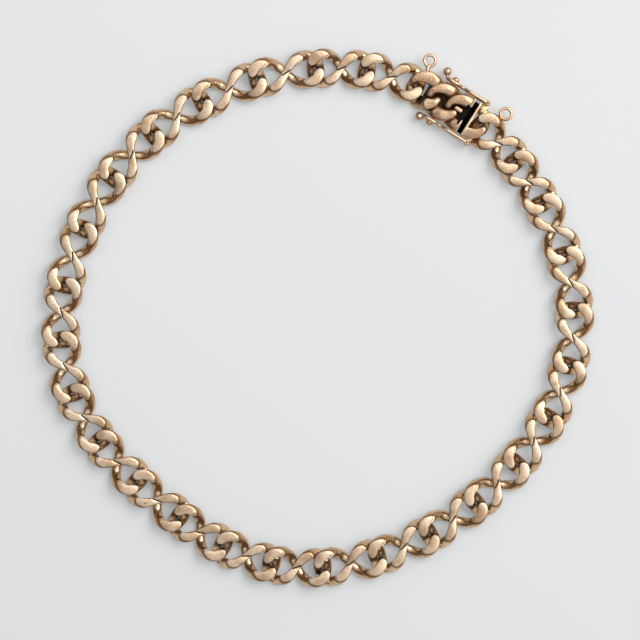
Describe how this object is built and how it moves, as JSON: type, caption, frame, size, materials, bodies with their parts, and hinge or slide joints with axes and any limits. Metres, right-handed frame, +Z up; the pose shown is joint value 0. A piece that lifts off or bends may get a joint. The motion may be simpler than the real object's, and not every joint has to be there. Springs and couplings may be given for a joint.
{
  "type": "link bracelet",
  "caption": "Curb bracelet of twin links, closed in a loop by a box clasp with a push button and two side latches.",
  "frame": {"origin": "middle of the closed loop's outline, at the height of the table it lies on", "axes": "+Z up from the table; +Y towards the top of the picture; +X to its right, so the clasp is at +X +Y"},
  "size_m": [0.0686, 0.0668, 0.002],
  "materials": {
    "gold": "worn polish, dark in the joints"
  },
  "bodies": {
    "bracelet": {"link_01": "gold", "link_02": "gold", "link_03": "gold", "link_04": "gold", "link_05": "gold", "link_06": "gold", "link_07": "gold", "link_08": "gold", "link_09": "gold", "link_10": "gold", "link_11": "gold", "link_12": "gold", "link_13": "gold", "link_14": "gold", "link_15": "gold", "link_16": "gold", "link_17": "gold", "link_18": "gold", "link_19": "gold", "link_20": "gold", "link_21": "gold", "link_22": "gold", "link_23": "gold", "link_24": "gold", "link_25": "gold", "link_26": "gold", "link_27": "gold", "clasp_box": "gold", "clasp_tongue": "gold"},
    "outer_latch": {"outer_latch": "gold"},
    "inner_latch": {"inner_latch": "gold"}
  },
  "joints": [
    {"name": "outer_latch_hinge", "type": "hinge", "parent": "bracelet", "child": "outer_latch", "pos_m": [0.02108, 0.02662, 0.001], "axis": [0, 0, -1], "range_deg": [0, 110]},
    {"name": "inner_latch_hinge", "type": "hinge", "parent": "bracelet", "child": "inner_latch", "pos_m": [0.01849, 0.02175, 0.001], "axis": [0, 0, 1], "range_deg": [0, 110]}
  ]
}
